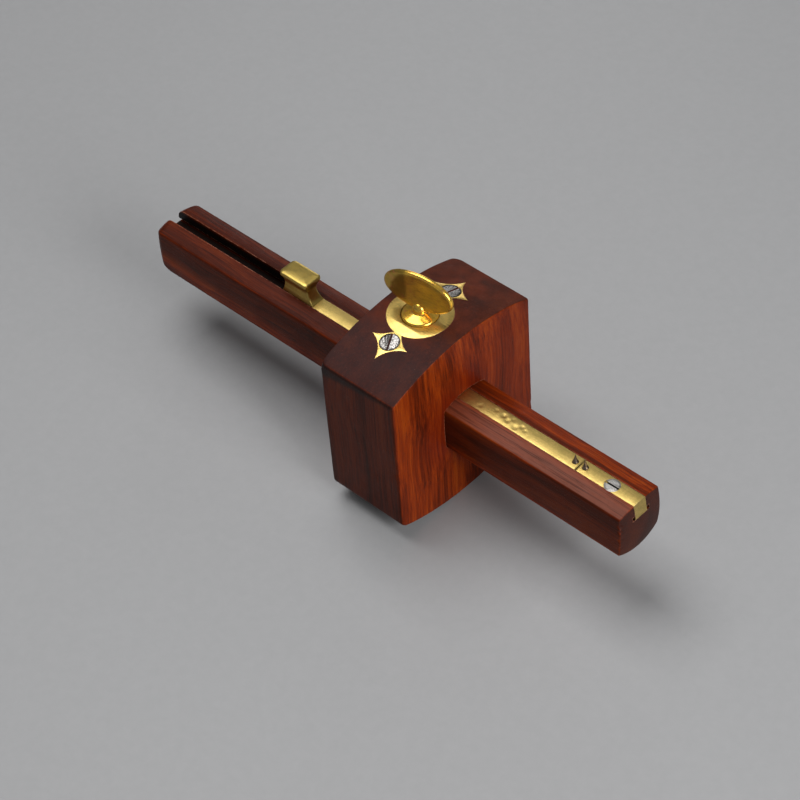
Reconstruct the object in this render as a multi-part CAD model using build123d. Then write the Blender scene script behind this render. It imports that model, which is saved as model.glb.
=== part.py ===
from build123d import *
import math
import os

# Mortise gauge: a hardwood head that slides along a hardwood stem, with a brass
# bar let into the top of the stem, two scribing pins and one thumbscrew.
#
# Frame, in millimetres: +X runs along the stem towards the pins, +Y across it,
# +Z up. The origin is half way along the stem and half way across the head, at
# the level that the head stands on. The stem lies along X at the height AXIS_Z.

# Head
HEAD_WIDTH = 65.1
HEAD_THICKNESS = 31.75
HEAD_SIDE = 55.9
HEAD_CROWN = 6.55
HEAD_FOOT_RADIUS = 3.0
HEAD_REST_WIDTH = 9.5
HEAD_CORNER_RADIUS = 1.0
HEAD_WORN_CORNER_RADIUS = 3.2

# Stem
STEM_LENGTH = 212.2
STEM_WIDTH = 19.05
STEM_SIDE = 16.5
STEM_TOP_CROWN = 2.0
STEM_BOTTOM_CROWN = 2.4
STEM_SIDE_BULGE = 0.3
STEM_EASING = 0.4
STEM_DOME_RADIUS = 50.0
STEM_TAIL_RADIUS = 3.6
MORTISE_CLEARANCE = 0.2

# Where things are along the stem, measured from the middle of the head
PIN_END_REACH = 89.9
SPLIT_REACH = 65.1
END_SCREW_REACH = 78.2
KNOB_TAIL_REACH = -64.1
PIN_TO_SPLIT = 2.0
SPLIT_GAP = 0.25

# Groove along the top of the stem, with an undercut foot. It was cut a little nearer
# the -Y side, and everything that lies in it follows.
GROOVE_ASIDE = -0.45
GROOVE_WIDTH = 5.6
GROOVE_DEPTH = 5.9
UNDERCUT_WIDTH = 8.0
UNDERCUT_HEIGHT = 1.6

# Brass bar and end plate in the groove
BAR_WIDTH = 5.4
BAR_FOOT_WIDTH = 7.7
BAR_FOOT_HEIGHT = 1.25
BAR_FLOOR_GAP = 0.1
BAR_REBATE = 1.2
END_PLATE_FOOT_WIDTH = 5.55

# Thumb knob on the bar
KNOB_BASE_LENGTH = 14.1
KNOB_HEIGHT = 8.2
KNOB_PAD_LENGTH = 13.0
KNOB_PAD_WIDTH = 7.8
KNOB_PAD_ASIDE = 0.85
KNOB_PAD_TAIL_CORNER = 1.6
KNOB_PAD_HEAD_CORNER = 1.1
KNOB_PAD_THICKNESS = 1.9
KNOB_PAD_OVERHANG = 1.0
KNOB_PAD_DOME = 0.35
KNOB_WAIST_WIDTH = 4.4
KNOB_WAIST_HEIGHT = 3.4
KNOB_NECK_WIDTH = 5.6
RIVET_RADIUS = 1.0
RIVET_SPACING = 7.0

# Scribing pins
PIN_RADIUS = 1.15
PIN_HEIGHT = 3.9
MOVING_PIN_HEIGHT = 3.3
PIN_TIP_RADIUS = 0.12
PIN_SHANK_RADIUS = 0.8
PIN_SHANK_LENGTH = 4.2

# Inlaid plate on the head: a disc with a pointed lobe at each end
PLATE_THICKNESS = 2.0
PLATE_DISC_RADIUS = 11.0
PLATE_PROUD = 0.12
PLATE_SKEW = 1.5
LOBE_REACH = 14.9
LOBE_POINT = 7.3
LOBE_HOLLOW = 1.35
CLAMP_OFFSET = -1.75

# Countersunk slotted screws
PLATE_SCREW_HEAD_RADIUS = 3.45
END_SCREW_HEAD_RADIUS = 2.7
END_SCREW_ASIDE = -0.25
SLOT_DEPTH = 0.7
NEAR_SLOT_ANGLE = 115.0
FAR_SLOT_ANGLE = 80.0

# Thumbscrew
BOSS_RADIUS = 6.2
BOSS_HOLE_RADIUS = 6.5
BOSS_SINK = 1.1
BOSS_EDGE = 1.5
BOSS_RISE = 2.6
NECK_RADIUS = 2.5
NECK_TOP = 6.1
THREAD_RADIUS = 2.85
NOSE_RADIUS = 1.9
NOSE_LENGTH = 1.4
RUNNING_CLEARANCE = 0.08
WING_WIDTH = 25.8
WING_HEIGHT = 15.0
WING_THICKNESS = 1.9
WING_LIFT = 9.7
WING_ANGLE = 10.0
WING_EASING = 0.7

# Bush that holds the thumbscrew's thread, and the pad that it presses down
BUSH_FLANGE_RADIUS = 7.6
BUSH_FLANGE_THICKNESS = 1.6
BUSH_RADIUS = 4.6
BUSH_LENGTH = 12.0
PAD_RADIUS = 5.8
PAD_THICKNESS = 3.2
PAD_STEM_GAP = 0.12
PAD_POCKET_CLEARANCE = 0.25
PAD_LIFT = 1.6

# Derived places
AXIS_Z = HEAD_CROWN + HEAD_SIDE / 2
HEAD_TOP = HEAD_SIDE + 2 * HEAD_CROWN
PIN_END_X = STEM_LENGTH / 2
TAIL_X = -STEM_LENGTH / 2
HEAD_X = PIN_END_X - PIN_END_REACH
SPLIT_X = HEAD_X + SPLIT_REACH
END_SCREW_X = HEAD_X + END_SCREW_REACH
KNOB_X = HEAD_X + KNOB_TAIL_REACH
CLAMP_X = HEAD_X + CLAMP_OFFSET
STEM_TOP = AXIS_Z + STEM_SIDE / 2 + STEM_TOP_CROWN
GROOVE_FLOOR = STEM_TOP - GROOVE_DEPTH
HEAD_CROWN_RADIUS = ((HEAD_WIDTH / 2) ** 2 + HEAD_CROWN ** 2) / (2 * HEAD_CROWN)
HEAD_CROWN_CENTRE = HEAD_TOP - HEAD_CROWN_RADIUS
HEAD_REST_CUT = HEAD_CROWN_RADIUS - math.sqrt(HEAD_CROWN_RADIUS ** 2 - (HEAD_REST_WIDTH / 2) ** 2)
BOSS_SEAT = HEAD_TOP - BOSS_SINK
BUSH_TOP = HEAD_TOP - PLATE_THICKNESS
PAD_BOTTOM = STEM_TOP + PAD_STEM_GAP
PAD_TOP = PAD_BOTTOM + PAD_THICKNESS
BIG = 400.0


def crowned_face(width, side, top, bottom, bulge=0.0):
    """Section across X: two upright sides between an arched top and an arched bottom."""
    half = width / 2
    shoulder = side / 2
    arched_top = ThreePointArc((half, shoulder), (0, shoulder + top), (-half, shoulder))
    arched_bottom = ThreePointArc((-half, -shoulder), (0, -shoulder - bottom), (half, -shoulder))
    if bulge:
        near = ThreePointArc((-half, shoulder), (-half - bulge, 0), (-half, -shoulder))
        far = ThreePointArc((half, -shoulder), (half + bulge, 0), (half, shoulder))
    else:
        near = Line((-half, shoulder), (-half, -shoulder))
        far = Line((half, -shoulder), (half, shoulder))
    return make_face([arched_top, near, arched_bottom, far])


def along_x(face, x_low, x_high, z=AXIS_Z):
    """Bar with the given section, whose own axis runs along X at height z."""
    section = Pos(x_low, 0, z) * (Plane.YZ * face)
    return extrude(section, amount=x_high - x_low, dir=(1, 0, 0))


def block(x_low, x_high, width, z_low, z_high):
    """Box centred across Y."""
    centre = Pos((x_low + x_high) / 2, 0, (z_low + z_high) / 2)
    return centre * Box(x_high - x_low, width, z_high - z_low)


def in_groove(solid):
    """Moves a solid made about y 0 to the middle of the groove."""
    return Pos(0, GROOVE_ASIDE, 0) * solid


def upright(radius, z_low, z_high, x=0.0, y=0.0):
    """Upright cylinder between two heights."""
    return Pos(x, y, (z_low + z_high) / 2) * Cylinder(radius, z_high - z_low)


def turned(points, x=0.0, y=0.0, z=0.0):
    """Body of revolution about an upright axis, from (radius, height) points."""
    profile = make_face(Polyline(*points, close=True))
    return Pos(x, y, z) * revolve(Plane.XZ * profile, Axis.Z)


def stem_section(clearance=0.0):
    """The stem's section, or the mortise's when given a clearance."""
    return crowned_face(
        STEM_WIDTH + 2 * clearance,
        STEM_SIDE,
        STEM_TOP_CROWN + clearance,
        STEM_BOTTOM_CROWN + clearance,
        STEM_SIDE_BULGE,
    )


def pin_end_waste():
    """What is filed off the stem and end plate to dome the pin end."""
    apex = PIN_END_X
    ball = Pos(apex - STEM_DOME_RADIUS, 0, AXIS_Z) * Sphere(STEM_DOME_RADIUS)
    return block(apex - 6, apex + 6, 40, AXIS_Z - 20, AXIS_Z + 20) - ball


def plate_outline():
    """Plan of the inlaid plate, about the thumbscrew's axis."""
    outline = Circle(PLATE_DISC_RADIUS).face()
    middle = LOBE_POINT / 2 - LOBE_HOLLOW / math.sqrt(2)
    points = [(LOBE_POINT, 0), (0, LOBE_POINT), (-LOBE_POINT, 0), (0, -LOBE_POINT)]
    hollows = [(middle, middle), (-middle, middle), (-middle, -middle), (middle, -middle)]
    sides = [ThreePointArc(points[i], hollows[i], points[(i + 1) % 4]) for i in range(4)]
    lobe = make_face(sides)
    return outline + Pos(0, LOBE_REACH) * lobe + Pos(0, -LOBE_REACH) * lobe


def crown_shell(proud, thickness):
    """Layer that follows the head's arched top, from proud above it down through thickness."""
    outer = HEAD_CROWN_RADIUS + proud
    axis = Pos(HEAD_X, 0, HEAD_CROWN_CENTRE) * Rot(Y=90)
    return axis * (Cylinder(outer, BIG) - Cylinder(outer - thickness, BIG))


def plate_solid(proud):
    """The inlaid plate as a plain solid, before its holes."""
    prism = Pos(CLAMP_X, 0, HEAD_TOP - 8) * Rot(Z=PLATE_SKEW) * extrude(plate_outline(), 12)
    return prism & crown_shell(proud, PLATE_THICKNESS + proud)


def countersunk_screw(head_radius, shank_radius, length, slot_width, slot_angle):
    """Slotted wood screw, with its flat head at z 0 and its point down."""
    cone = 0.55 * head_radius
    screw = turned([
        (0, 0),
        (head_radius, 0),
        (head_radius, -0.15),
        (shank_radius, -0.15 - cone),
        (shank_radius, -length + 2),
        (0.2, -length),
        (0, -length),
    ])
    slot = Rot(Z=slot_angle) * Pos(0, 0, -SLOT_DEPTH / 2) * Box(BIG, slot_width, SLOT_DEPTH)
    return screw - slot


def plate_screw_place(side):
    """Where a plate screw sits: on the arched top, square to it."""
    turn = Rot(Z=PLATE_SKEW)
    tilt = math.degrees(math.asin(LOBE_REACH / HEAD_CROWN_RADIUS))
    radius = HEAD_CROWN_RADIUS + PLATE_PROUD
    arch = Pos(CLAMP_X, 0, HEAD_CROWN_CENTRE) * turn * Rot(X=-side * tilt)
    return arch * Pos(0, 0, radius)


def plate_screw(side, slot_angle):
    screw = countersunk_screw(PLATE_SCREW_HEAD_RADIUS, 1.5, 14, 0.75, slot_angle)
    return plate_screw_place(side) * screw


def screw_hole(head_radius, shank_radius, length):
    """Countersunk hole that a countersunk_screw fills."""
    cone = 0.55 * head_radius
    return turned([
        (0, 3),
        (head_radius + 0.06, 3),
        (head_radius + 0.06, -0.15),
        (shank_radius, -0.15 - cone),
        (shank_radius, -length),
        (0, -length),
    ])


def plate_screw_holes():
    hole = screw_hole(PLATE_SCREW_HEAD_RADIUS, 1.5, 14)
    return plate_screw_place(-1) * hole + plate_screw_place(1) * hole


def end_screw_place():
    return Pos(END_SCREW_X, GROOVE_ASIDE + END_SCREW_ASIDE, STEM_TOP - 0.08)


def head_plate():
    plate = plate_solid(PLATE_PROUD)
    plate -= upright(BOSS_HOLE_RADIUS, HEAD_TOP - 6, HEAD_TOP + 6, CLAMP_X)
    return plate - plate_screw_holes()


def clamp_bush():
    """Flanged nut let into the head below the plate."""
    bottom = BUSH_TOP - BUSH_LENGTH
    flange = upright(BUSH_FLANGE_RADIUS, BUSH_TOP - BUSH_FLANGE_THICKNESS, BUSH_TOP, CLAMP_X)
    flange &= crown_shell(-PLATE_THICKNESS, 6)
    barrel = upright(BUSH_RADIUS, bottom, BUSH_TOP - 0.2, CLAMP_X)
    bore = upright(THREAD_RADIUS + RUNNING_CLEARANCE, bottom - 1, BUSH_TOP + 2, CLAMP_X)
    return flange + barrel - bore


def head_plan():
    """The head seen from above: the corner at the back and far side is worn rounder."""
    plan = Rectangle(HEAD_THICKNESS, HEAD_WIDTH)
    corners = plan.vertices().sort_by(Axis.X)
    worn = corners[:2].sort_by(Axis.Y)[-1]
    others = [corner for corner in corners if corner != worn]
    plan = fillet(others, HEAD_CORNER_RADIUS)
    far_corner = plan.vertices().sort_by_distance((-HEAD_THICKNESS / 2, HEAD_WIDTH / 2))[0]
    return fillet(far_corner, HEAD_WORN_CORNER_RADIUS)


def head_block():
    """The hardwood head, with its mortise, plate recess, bush hole and pad pocket.

    The upright extrusion of its plan also cuts the narrow flat that it stands on.
    """
    face = crowned_face(HEAD_WIDTH, HEAD_SIDE, HEAD_CROWN, HEAD_CROWN + HEAD_REST_CUT)
    feet = face.vertices().sort_by(Axis.Y)[:2]
    face = fillet(feet, HEAD_FOOT_RADIUS)
    body = along_x(face, HEAD_X - HEAD_THICKNESS / 2, HEAD_X + HEAD_THICKNESS / 2)
    body &= Pos(HEAD_X, 0, 0) * extrude(head_plan(), HEAD_TOP)
    body -= along_x(stem_section(MORTISE_CLEARANCE), -BIG / 2, BIG / 2)
    body -= plate_solid(PLATE_PROUD)
    body -= plate_screw_holes()
    body -= clamp_bush()
    pocket_top = PAD_TOP + PAD_LIFT + 0.4
    body -= upright(THREAD_RADIUS + 0.4, STEM_TOP, BUSH_TOP, CLAMP_X)
    body -= upright(PAD_RADIUS + PAD_POCKET_CLEARANCE, AXIS_Z, pocket_top, CLAMP_X)
    return body


def clamp_screw():
    """Turned boss with its neck above and its threaded shank and plain nose below."""
    bead = NECK_TOP - NECK_RADIUS
    nose_end = PAD_TOP - NOSE_LENGTH - BOSS_SEAT
    shank_end = PAD_TOP + 0.1 - BOSS_SEAT
    outline = [
        Polyline((BOSS_RADIUS, BOSS_EDGE), (BOSS_RADIUS, 0), (THREAD_RADIUS, 0)),
        Polyline((THREAD_RADIUS, 0), (THREAD_RADIUS, shank_end), (NOSE_RADIUS, shank_end)),
        Polyline((NOSE_RADIUS, shank_end), (NOSE_RADIUS, nose_end), (0, nose_end), (0, NECK_TOP)),
        ThreePointArc(
            (0, NECK_TOP),
            (NECK_RADIUS * math.sqrt(0.5), bead + NECK_RADIUS * math.sqrt(0.5)),
            (NECK_RADIUS, bead),
        ),
        Line((NECK_RADIUS, bead), (NECK_RADIUS, BOSS_RISE)),
        ThreePointArc(
            (NECK_RADIUS, BOSS_RISE),
            (0.55 * (NECK_RADIUS + BOSS_RADIUS), 0.55 * BOSS_RISE + 0.45 * BOSS_EDGE + 0.12),
            (BOSS_RADIUS, BOSS_EDGE),
        ),
    ]
    screw = revolve(Plane.XZ * make_face(outline), Axis.Z)
    return Pos(CLAMP_X, 0, BOSS_SEAT) * screw - thumb_wing()


def thumb_wing():
    """Upright oval plate that the thumb and finger turn."""
    oval = extrude(Plane.XZ * Ellipse(WING_WIDTH / 2, WING_HEIGHT / 2), WING_THICKNESS / 2, both=True)
    oval = fillet(oval.edges(), WING_EASING)
    return Pos(CLAMP_X, 0, HEAD_TOP + WING_LIFT) * Rot(Z=WING_ANGLE) * oval


def pressure_pad():
    """Shoe under the thumbscrew's nose, hollowed to sit on the stem and the bar."""
    pad = upright(PAD_RADIUS, AXIS_Z, PAD_TOP, CLAMP_X)
    pad -= along_x(stem_section(PAD_STEM_GAP), CLAMP_X - 20, CLAMP_X + 20)
    socket = NOSE_RADIUS + RUNNING_CLEARANCE
    return pad - upright(socket, PAD_TOP - NOSE_LENGTH - 0.1, PAD_TOP + 1, CLAMP_X)


def groove():
    """Undercut groove along the whole stem."""
    low = TAIL_X - 1
    high = PIN_END_X + 1
    mouth = block(low, high, GROOVE_WIDTH, GROOVE_FLOOR, STEM_TOP + 1)
    undercut = block(low, high, UNDERCUT_WIDTH, GROOVE_FLOOR, GROOVE_FLOOR + UNDERCUT_HEIGHT)
    return in_groove(mouth + undercut)


def stem_beam():
    """The hardwood stem: arched section, domed at the pin end and rounded at the tail."""
    beam = along_x(stem_section(), TAIL_X, PIN_END_X)
    beam = fillet(beam.edges().filter_by(Axis.X), STEM_EASING)
    depth = STEM_WIDTH + 2 * STEM_SIDE_BULGE
    plan = Pos(TAIL_X + BIG / 2, 0) * RectangleRounded(BIG, depth, STEM_TAIL_RADIUS)
    beam &= Pos(0, 0, AXIS_Z - 20) * extrude(plan, 40)
    height = STEM_SIDE + STEM_TOP_CROWN + STEM_BOTTOM_CROWN
    middle = AXIS_Z + (STEM_TOP_CROWN - STEM_BOTTOM_CROWN) / 2
    side = Plane.XZ * Pos(TAIL_X + BIG / 2, middle) * RectangleRounded(BIG, height, STEM_TAIL_RADIUS)
    beam &= extrude(side, 20, both=True)
    beam -= pin_end_waste()
    beam -= groove()
    return beam - end_screw_place() * screw_hole(END_SCREW_HEAD_RADIUS, 1.2, 13)


def pin_solid(x, height):
    """Scribing pin: a cone above the brass on a plain driven shank."""
    return in_groove(turned([
        (0, -PIN_SHANK_LENGTH),
        (PIN_SHANK_RADIUS, -PIN_SHANK_LENGTH),
        (PIN_SHANK_RADIUS, -0.3),
        (PIN_RADIUS, -0.3),
        (PIN_RADIUS, 0.1),
        (0.5 * PIN_RADIUS, 0.48 * height),
        (PIN_TIP_RADIUS, height - 0.1),
        (0, height),
    ], x=x, z=STEM_TOP))


def fixed_pin():
    return pin_solid(SPLIT_X + PIN_TO_SPLIT, PIN_HEIGHT)


def moving_pin():
    return pin_solid(SPLIT_X - PIN_TO_SPLIT, MOVING_PIN_HEIGHT)


def end_plate():
    """Brass that fills the groove between the bar and the pin end."""
    low = SPLIT_X + SPLIT_GAP / 2
    top = BAR_WIDTH / 2
    foot = END_PLATE_FOOT_WIDTH / 2
    section = make_face(Polyline(
        (-foot, GROOVE_FLOOR - AXIS_Z),
        (foot, GROOVE_FLOOR - AXIS_Z),
        (top, STEM_SIDE),
        (-top, STEM_SIDE),
        close=True,
    ))
    plate = in_groove(along_x(section, low, PIN_END_X + 1))
    plate &= along_x(stem_section(), low, PIN_END_X + 1)
    plate -= pin_end_waste()
    plate -= end_screw_place() * screw_hole(END_SCREW_HEAD_RADIUS, 1.2, 13)
    return plate - fixed_pin()


def end_plate_screw():
    return end_screw_place() * countersunk_screw(END_SCREW_HEAD_RADIUS, 1.2, 13, 0.7, 0)


def knob_rivets():
    """Two rivets that hold the knob down on the bar."""
    middle = KNOB_X + KNOB_BASE_LENGTH / 2
    foot = GROOVE_FLOOR + BAR_FLOOR_GAP
    left = upright(RIVET_RADIUS, foot, STEM_TOP + 3, middle - RIVET_SPACING / 2)
    return in_groove(left + Pos(RIVET_SPACING, 0, 0) * left)


def slide_bar():
    """Brass bar with an undercut foot, rebated at its tail for the knob."""
    high = SPLIT_X - SPLIT_GAP / 2
    foot = GROOVE_FLOOR + BAR_FLOOR_GAP
    bar = block(KNOB_X, high, BAR_WIDTH, foot, STEM_TOP)
    bar += block(KNOB_X, high, BAR_FOOT_WIDTH, foot, foot + BAR_FOOT_HEIGHT)
    bar = in_groove(bar) & along_x(stem_section(), KNOB_X, high)
    tail = KNOB_X + KNOB_BASE_LENGTH
    bar -= in_groove(block(KNOB_X - 1, tail, BAR_WIDTH + 1, STEM_TOP - BAR_REBATE, STEM_TOP + 1))
    return bar - knob_rivets() - moving_pin()


def knob_neck():
    """The part under the thumb pad: hollow flanks that sweep out to the bar."""
    base = KNOB_BASE_LENGTH
    top = KNOB_HEIGHT - KNOB_PAD_THICKNESS
    front = KNOB_PAD_LENGTH - KNOB_PAD_OVERHANG - 0.2
    side_view = make_face([
        Polyline((-0.4, top), (front, top)),
        ThreePointArc((front, top), (front + 1.0, 0.42 * top), (base, 0.25)),
        Polyline((base, 0.25), (base, -BAR_REBATE), (0, -BAR_REBATE), (0, 0.3)),
        ThreePointArc((0, 0.3), (0.55, 0.5 * top), (-0.4, top)),
    ])
    half = BAR_WIDTH / 2
    waist = KNOB_WAIST_WIDTH / 2
    neck = KNOB_NECK_WIDTH / 2
    end_view = make_face([
        ThreePointArc((half, 0), (waist, KNOB_WAIST_HEIGHT), (neck, top)),
        Line((neck, top), (-neck, top)),
        ThreePointArc((-neck, top), (-waist, KNOB_WAIST_HEIGHT), (-half, 0)),
        Polyline((-half, 0), (-half, -BAR_REBATE), (half, -BAR_REBATE), (half, 0)),
    ])
    flanks = Pos(KNOB_X, 0, STEM_TOP) * extrude(Plane.XZ * side_view, 5, both=True)
    return flanks & along_x(end_view, KNOB_X - 2, KNOB_X + base + 1, STEM_TOP)


def knob_pad():
    """Rounded, slightly domed pad that the thumb pushes."""
    length = KNOB_PAD_LENGTH
    middle = Pos(length / 2 - KNOB_PAD_OVERHANG, KNOB_PAD_ASIDE)
    plan = middle * Rectangle(length, KNOB_PAD_WIDTH)
    corners = plan.vertices().sort_by(Axis.X)
    plan = fillet(corners[:2], KNOB_PAD_TAIL_CORNER)
    corners = plan.vertices().sort_by(Axis.X)
    plan = fillet(corners[-2:], KNOB_PAD_HEAD_CORNER)
    pad = extrude(plan, KNOB_PAD_THICKNESS)
    arch_radius = (length / 2) ** 2 / (2 * KNOB_PAD_DOME)
    arch_centre = KNOB_PAD_THICKNESS - arch_radius
    pad &= middle * Pos(0, 0, arch_centre) * Sphere(arch_radius)
    pad = fillet(pad.edges().group_by(Axis.Z)[0], 0.6)
    return Pos(KNOB_X, 0, STEM_TOP + KNOB_HEIGHT - KNOB_PAD_THICKNESS) * pad


def slide_knob():
    return in_groove(knob_neck() + knob_pad()) - knob_rivets()


NODES = {
    "head_block": head_block,
    "head_plate": head_plate,
    "plate_screw_near": lambda: plate_screw(-1, NEAR_SLOT_ANGLE),
    "plate_screw_far": lambda: plate_screw(1, FAR_SLOT_ANGLE),
    "clamp_bush": clamp_bush,
    "clamp_screw": clamp_screw,
    "thumb_wing": thumb_wing,
    "pressure_pad": pressure_pad,
    "stem_beam": stem_beam,
    "end_plate": end_plate,
    "end_plate_screw": end_plate_screw,
    "fixed_pin": fixed_pin,
    "slide_bar": slide_bar,
    "slide_knob": slide_knob,
    "knob_rivets": knob_rivets,
    "moving_pin": moving_pin,
}

os.makedirs("parts", exist_ok=True)
for name, make in NODES.items():
    export_step(make(), f"parts/{name}.step")
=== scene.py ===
"""Looks of a rosewood and brass mortise gauge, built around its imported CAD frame.

Everything is in metres in the frame's own axes: +X along the stem towards the pins,
+Y across it and +Z up. Sizes that the frame gives are read from it. The others are
named below, in millimetres times MM.
"""

import math

import bmesh
import bpy
import numpy as np
from mathutils import Matrix, Vector, noise

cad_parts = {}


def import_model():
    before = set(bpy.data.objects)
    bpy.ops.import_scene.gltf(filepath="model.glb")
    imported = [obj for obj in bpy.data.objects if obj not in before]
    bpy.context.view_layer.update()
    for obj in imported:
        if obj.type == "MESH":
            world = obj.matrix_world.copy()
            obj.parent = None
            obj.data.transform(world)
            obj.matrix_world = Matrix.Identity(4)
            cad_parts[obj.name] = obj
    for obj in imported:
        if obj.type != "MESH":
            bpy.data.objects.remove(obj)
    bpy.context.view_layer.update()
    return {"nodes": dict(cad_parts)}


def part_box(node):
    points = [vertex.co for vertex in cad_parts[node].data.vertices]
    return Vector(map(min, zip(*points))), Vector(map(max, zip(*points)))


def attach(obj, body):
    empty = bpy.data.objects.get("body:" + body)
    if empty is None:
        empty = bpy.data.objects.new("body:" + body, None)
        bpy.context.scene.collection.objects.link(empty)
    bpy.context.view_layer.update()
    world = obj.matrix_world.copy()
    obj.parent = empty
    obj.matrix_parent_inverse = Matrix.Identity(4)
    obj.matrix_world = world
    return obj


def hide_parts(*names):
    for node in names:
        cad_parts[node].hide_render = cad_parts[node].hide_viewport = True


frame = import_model()
MM = 0.001

# ---------------------------------------------------------------- places from the frame

HEAD_LOW, HEAD_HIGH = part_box("head_block")
STEM_LOW, STEM_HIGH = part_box("stem_beam")
BAR_LOW, BAR_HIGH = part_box("slide_bar")
END_PLATE_LOW, END_PLATE_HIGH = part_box("end_plate")
WING_LOW, WING_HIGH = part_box("thumb_wing")
BOSS_LOW, BOSS_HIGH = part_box("clamp_screw")
HEAD_CENTRE = (HEAD_LOW + HEAD_HIGH) / 2
AXIS_Z = HEAD_CENTRE.z
HEAD_TOP = HEAD_HIGH.z
BAR_TOP = BAR_HIGH.z
BAR_Y = (BAR_LOW.y + BAR_HIGH.y) / 2
CLAMP_X = (BOSS_LOW.x + BOSS_HIGH.x) / 2
WING_CENTRE = (WING_LOW + WING_HIGH) / 2

# ---------------------------------------------------------------- sizes

HEAD_HALF = HEAD_HIGH.y
HEAD_RISE = HEAD_HIGH.z - AXIS_Z
HEAD_CROWN_RADIUS = 83.8 * MM
HEAD_SHOULDER_RADIUS = 1.5 * MM
HEAD_FOOT_RADIUS = 3.0 * MM
HEAD_END_EASING = 0.45 * MM
HEAD_CORNER_RADIUS = 0.9 * MM
HEAD_WORN_CORNER_RADIUS = 3.2 * MM
STEM_HALF = 9.525 * MM
STEM_RISE = BAR_TOP - AXIS_Z
STEM_DROP = AXIS_Z - STEM_LOW.z
STEM_TOP_RADIUS = 23.7 * MM
STEM_BOTTOM_RADIUS = 20.1 * MM
STEM_SIDE_BULGE = 0.3 * MM
STEM_EDGE_RADIUS = 0.45 * MM
STEM_NEAR_EDGE_RADIUS = 1.1 * MM
STEM_TAIL_RADIUS = 3.6 * MM
STEM_TAIL_FOOT_RADIUS = 6.5 * MM
STEM_DOME_RADIUS = 50 * MM
MORTISE_CLEARANCE = 0.2 * MM
GROOVE_WIDTH = 5.6 * MM
GROOVE_DEPTH = 5.9 * MM
GROOVE_FLOOR = BAR_TOP - GROOVE_DEPTH
UNDERCUT_WIDTH = 8.0 * MM
UNDERCUT_HEIGHT = 1.6 * MM
BAR_WIDTH = 5.4 * MM
BAR_FOOT_WIDTH = 7.7 * MM
BAR_FOOT_HEIGHT = 1.25 * MM
BAR_REBATE = 1.2 * MM
KNOB_BASE_LENGTH = 14.1 * MM
BOSS_RADIUS = 6.2 * MM
NECK_RADIUS = 2.5 * MM
NECK_TOP = 6.1 * MM
SHANK_RADIUS = 2.85 * MM
NOSE_RADIUS = 1.9 * MM
WING_SIZE = (25.8 * MM, WING_HIGH.z - WING_LOW.z, 1.9 * MM)
WING_ANGLE = math.radians(10)

# ---------------------------------------------------------------- mesh helpers


def smoothstep(low, high, x):
    t = np.clip((x - low) / (high - low), 0, 1)
    return t * t * (3 - 2 * t)


def span(low, high, spacing):
    """Evenly spaced values from low to high, both included."""
    count = max(2, math.ceil(abs(high - low) / spacing))
    return np.linspace(low, high, count + 1)


def make_object(name, verts, faces, smooth_angle=35):
    mesh = bpy.data.meshes.new(name)
    mesh.from_pydata([tuple(v) for v in verts], [], [tuple(f) for f in faces])
    mesh.update()
    obj = bpy.data.objects.new(name, mesh)
    bpy.context.scene.collection.objects.link(obj)
    tidy_mesh(obj, smooth_angle)
    return obj


def tidy_mesh(obj, smooth_angle=35):
    """Welds, points every face outwards and shades smooth between real edges."""
    work = bmesh.new()
    work.from_mesh(obj.data)
    bmesh.ops.remove_doubles(work, verts=work.verts, dist=0.002 * MM)
    bmesh.ops.recalc_face_normals(work, faces=work.faces)
    work.to_mesh(obj.data)
    work.free()
    obj.data.shade_smooth()
    obj.data.set_sharp_from_angle(angle=math.radians(smooth_angle))


def ring_faces(rings, count):
    """Quads between successive rings of count points each."""
    faces = []
    for r in range(rings - 1):
        for i in range(count):
            j = (i + 1) % count
            faces.append((r * count + i, r * count + j, (r + 1) * count + j, (r + 1) * count + i))
    return faces


def capped_rings(rings):
    """Vertices and faces of a closed solid from rings whose first and last are points or flat."""
    count = len(rings[0])
    verts = np.concatenate(rings)
    faces = ring_faces(len(rings), count)
    first = len(verts)
    ends = [rings[0].mean(0), rings[-1].mean(0)]
    verts = np.concatenate([verts, ends])
    last_ring = (len(rings) - 1) * count
    for i in range(count):
        j = (i + 1) % count
        faces.append((first, j, i))
        faces.append((first + 1, last_ring + i, last_ring + j))
    return verts, faces


def apply_modifiers(obj):
    """Bakes the object's modifiers into its mesh."""
    graph = bpy.context.evaluated_depsgraph_get()
    baked = bpy.data.meshes.new_from_object(obj.evaluated_get(graph), depsgraph=graph)
    obj.modifiers.clear()
    obj.data = baked


def cut(obj, *cutters):
    """Takes the cutters' solids out of obj, and removes the cutters."""
    for cutter in cutters:
        modifier = obj.modifiers.new("cut", "BOOLEAN")
        modifier.operation = "DIFFERENCE"
        modifier.solver = "MANIFOLD"
        modifier.object = cutter
        apply_modifiers(obj)
        bpy.data.objects.remove(cutter)
    tidy_mesh(obj)


def bevel(obj, width, angle):
    """Rounds the edges that are sharper than angle."""
    modifier = obj.modifiers.new("bevel", "BEVEL")
    modifier.width = width
    modifier.segments = 3
    modifier.limit_method = "ANGLE"
    modifier.angle_limit = math.radians(angle)
    modifier.use_clamp_overlap = True
    apply_modifiers(obj)
    tidy_mesh(obj, angle)


def prism(name, outline, axis, low, high):
    """Straight prism of a closed outline, given in the two axes after axis, between two places."""
    points = np.array(outline, float)
    rings = []
    for place in (low, high):
        ring = np.zeros((len(points), 3))
        ring[:, axis] = place
        ring[:, (axis + 1) % 3] = points[:, 0]
        ring[:, (axis + 2) % 3] = points[:, 1]
        rings.append(ring)
    count = len(points)
    faces = ring_faces(2, count)
    faces.append(tuple(range(count - 1, -1, -1)))
    faces.append(tuple(range(count, 2 * count)))
    return make_object(name, np.concatenate(rings), faces)


def rectangle(low_u, high_u, low_v, high_v):
    return [(low_u, low_v), (high_u, low_v), (high_u, high_v), (low_u, high_v)]


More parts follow.
